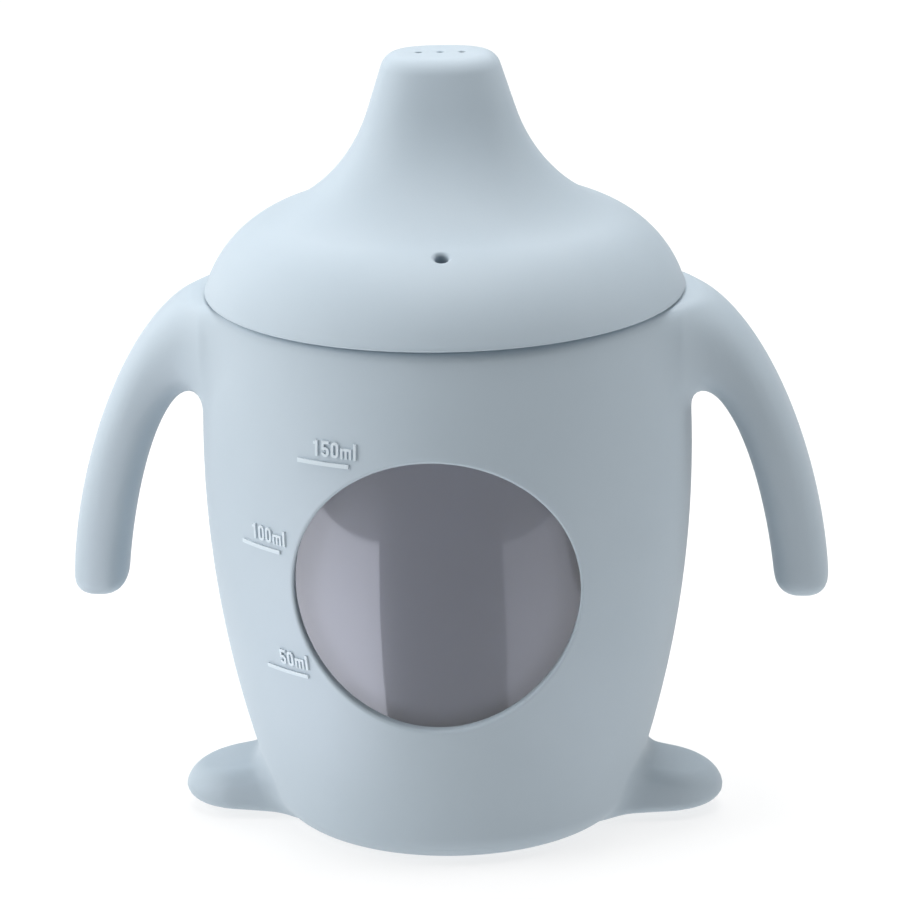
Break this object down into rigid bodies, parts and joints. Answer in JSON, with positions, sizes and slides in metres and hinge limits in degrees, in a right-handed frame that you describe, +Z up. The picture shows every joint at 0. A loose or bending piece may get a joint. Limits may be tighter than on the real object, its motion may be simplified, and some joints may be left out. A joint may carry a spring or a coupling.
{
  "type": "sippy cup",
  "caption": "Toddler sippy cup: soft sleeve with wing handles, feet and a round window, a clear inner cup, and a domed spout lid.",
  "frame": {"origin": "on the ground, under the axis of the cup", "axes": "+Z up along the cup's axis towards the spout, +X towards the handle that is on the right seen from the window side, -Y towards the window"},
  "size_m": [0.115, 0.0736, 0.1187],
  "materials": {
    "sleeve_silicone": "matte",
    "mark_silicone": "satin",
    "smoke_plastic": "gloss",
    "lid_silicone": "matte"
  },
  "bodies": {
    "sleeve": {"sleeve": "sleeve_silicone", "volume_marks": "mark_silicone"},
    "cup": {"inner_cup": "smoke_plastic"},
    "lid": {"spout_lid": "lid_silicone"}
  },
  "joints": [
    {"name": "cup_lift", "type": "slide", "parent": "sleeve", "child": "cup", "axis": [0, 0, 1], "range_m": [0, 0.095]},
    {"name": "lid_lift", "type": "slide", "parent": "cup", "child": "lid", "axis": [0, 0, 1], "range_m": [0, 0.045]}
  ]
}
